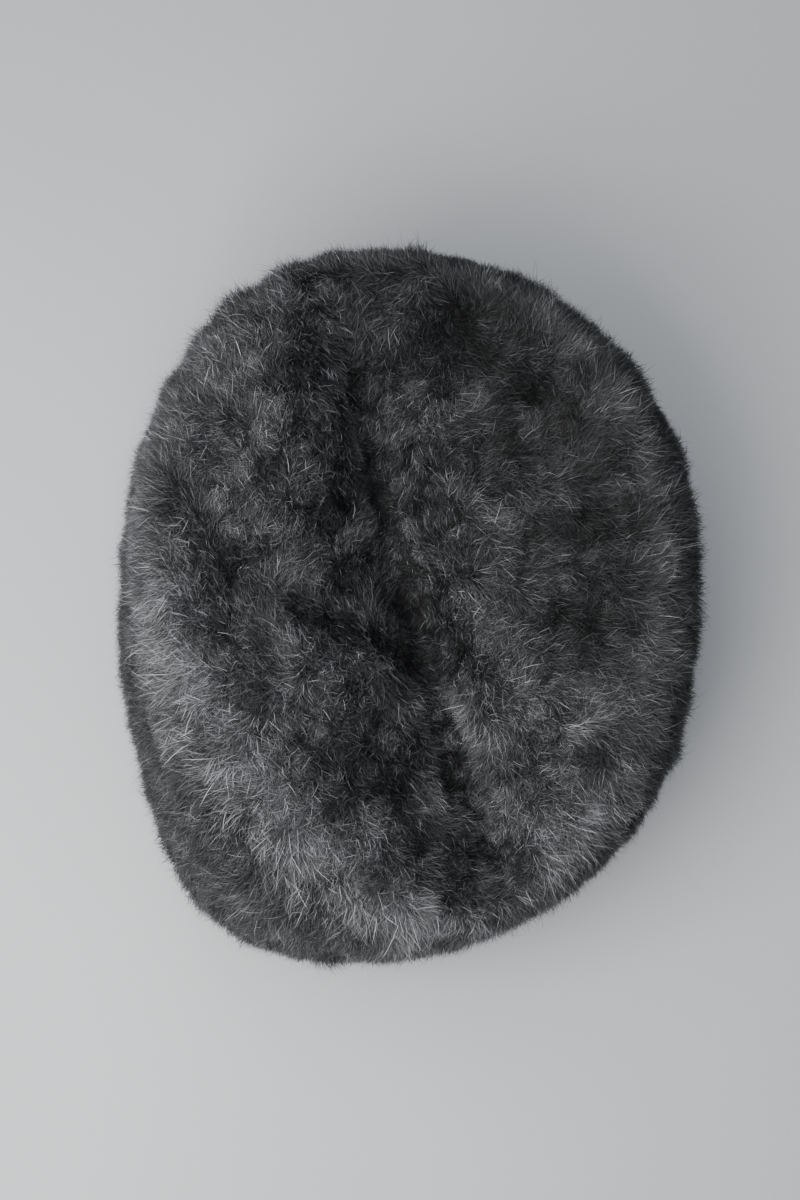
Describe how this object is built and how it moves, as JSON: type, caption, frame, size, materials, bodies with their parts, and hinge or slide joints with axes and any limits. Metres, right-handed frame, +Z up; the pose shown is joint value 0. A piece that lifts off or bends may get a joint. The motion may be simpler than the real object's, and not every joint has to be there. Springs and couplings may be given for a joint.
{
  "type": "telpek fur hat",
  "caption": "Low dark fur hat: an upright pelt band round the head and a sunken oval crown with a lengthwise crease, hollow and open below.",
  "frame": {"origin": "under the middle of the bounding box, in the plane of the rim that the hat rests on", "axes": "+Z up through the crown, +Y to the back of the hat along its long axis, +X to the wearer's left"},
  "size_m": [0.1982, 0.2418, 0.1172],
  "materials": {
    "dark_fur": "deep matte dark grey fur with silver hair ends, on a brown suede hide"
  },
  "bodies": {
    "root": {"side_band": "dark_fur", "crown": "dark_fur"}
  },
  "joints": []
}
